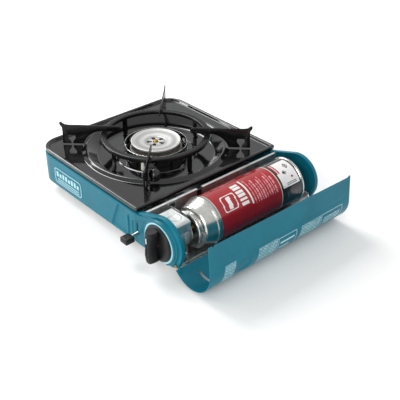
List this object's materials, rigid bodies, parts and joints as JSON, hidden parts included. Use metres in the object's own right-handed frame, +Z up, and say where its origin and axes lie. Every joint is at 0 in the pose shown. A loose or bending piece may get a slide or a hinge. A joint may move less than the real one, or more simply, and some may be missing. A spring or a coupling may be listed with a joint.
{
  "type": "portable gas stove",
  "caption": "Flat portable camping stove with one burner, a pot support over a black drip pan, a side bay for a gas cartridge under a hinged lid, a turning knob and a lock lever.",
  "frame": {"origin": "middle of the footprint's bounding box, at ground level", "axes": "+Z up; -Y towards the person at the knob; +X towards the cartridge bay and its open lid"},
  "size_m": [0.3794, 0.281, 0.1022],
  "materials": {
    "teal_paint": "gloss powder coat on pressed steel",
    "black_enamel": "gloss black enamel on pressed steel",
    "galvanised_steel": "galvanised sheet",
    "bright_steel": "bright rolled steel",
    "cast_aluminium": "bead-blasted casting",
    "brass": "turned, slightly dull",
    "black_plastic": "moulded, fine grain",
    "rubber": "matt",
    "red_print": "gloss lacquered tinplate",
    "glazed_ceramic": "glazed white",
    "white_plastic": "moulded"
  },
  "bodies": {
    "stove_body": {"drip_pan": "black_enamel", "outer_case": "teal_paint", "base_pan": "galvanised_steel", "burner_base": "cast_aluminium", "burner_cap": "cast_aluminium", "wind_collar": "bright_steel", "flame_port_ring": "brass", "mixing_tube": "galvanised_steel", "regulator_body": "cast_aluminium", "heat_shield": "galvanised_steel", "burner_strap": "galvanised_steel", "regulator_bracket": "galvanised_steel", "ignition_lead": "rubber", "lever_spring": "bright_steel", "gas_pipe": "cast_aluminium", "burner_centre": "brass", "air_shutter": "bright_steel", "inlet_port": "black_plastic", "electrode_wire": "bright_steel", "gas_jet": "brass", "lever_pivot_pin": "bright_steel", "base_screw_1": "bright_steel", "base_screw_2": "bright_steel", "base_screw_3": "bright_steel", "base_screw_4": "bright_steel", "inlet_nozzle": "bright_steel", "electrode_bracket": "galvanised_steel", "foot_front_left": "rubber", "foot_front_right": "rubber", "foot_rear_left": "rubber", "foot_rear_right": "rubber", "electrode_insulator": "glazed_ceramic", "hinge_pin_front": "brass", "hinge_pin_rear": "brass", "piezo_igniter": "black_plastic", "pan_clip": "black_plastic", "regulator_cover": "galvanised_steel"},
    "pot_support": {"pot_support_ring": "black_enamel", "fin_right": "black_enamel", "fin_back": "black_enamel", "fin_left": "black_enamel", "fin_front": "black_enamel"},
    "knob": {"knob": "black_plastic", "valve_shaft": "brass", "ignition_cam": "white_plastic"},
    "lever": {"lock_lever": "bright_steel", "lever_grip": "black_plastic"},
    "carriage": {"ejector_fork": "galvanised_steel", "cartridge_can": "red_print", "cartridge_dome": "bright_steel", "cartridge_collar": "bright_steel", "cartridge_stem": "brass"},
    "lid": {"lid": "teal_paint"}
  },
  "joints": [
    {"name": "pot_support_lift", "type": "slide", "parent": "stove_body", "child": "pot_support", "axis": [0, 0, 1], "range_m": [0, 0.06]},
    {"name": "knob_turn", "type": "hinge", "parent": "stove_body", "child": "knob", "pos_m": [0.09725, -0.1165, 0.0425], "axis": [0, -1, 0], "range_deg": [0, 130]},
    {"name": "lock_lever", "type": "hinge", "parent": "stove_body", "child": "lever", "pos_m": [0.0511, -0.0705, 0.038], "axis": [-1, 0, 0], "range_deg": [0, 16]},
    {"name": "carriage_slide", "type": "slide", "parent": "stove_body", "child": "carriage", "axis": [0, 1, 0], "range_m": [0, 0.005]},
    {"name": "lid_hinge", "type": "hinge", "parent": "stove_body", "child": "lid", "pos_m": [0.12555, 0.012, 0.02], "axis": [0, -1, 0], "range_deg": [0, 104]}
  ],
  "couplings": [
    {"joint": "lock_lever", "follows": "carriage_slide", "rad_per_m": 55.85}
  ]
}
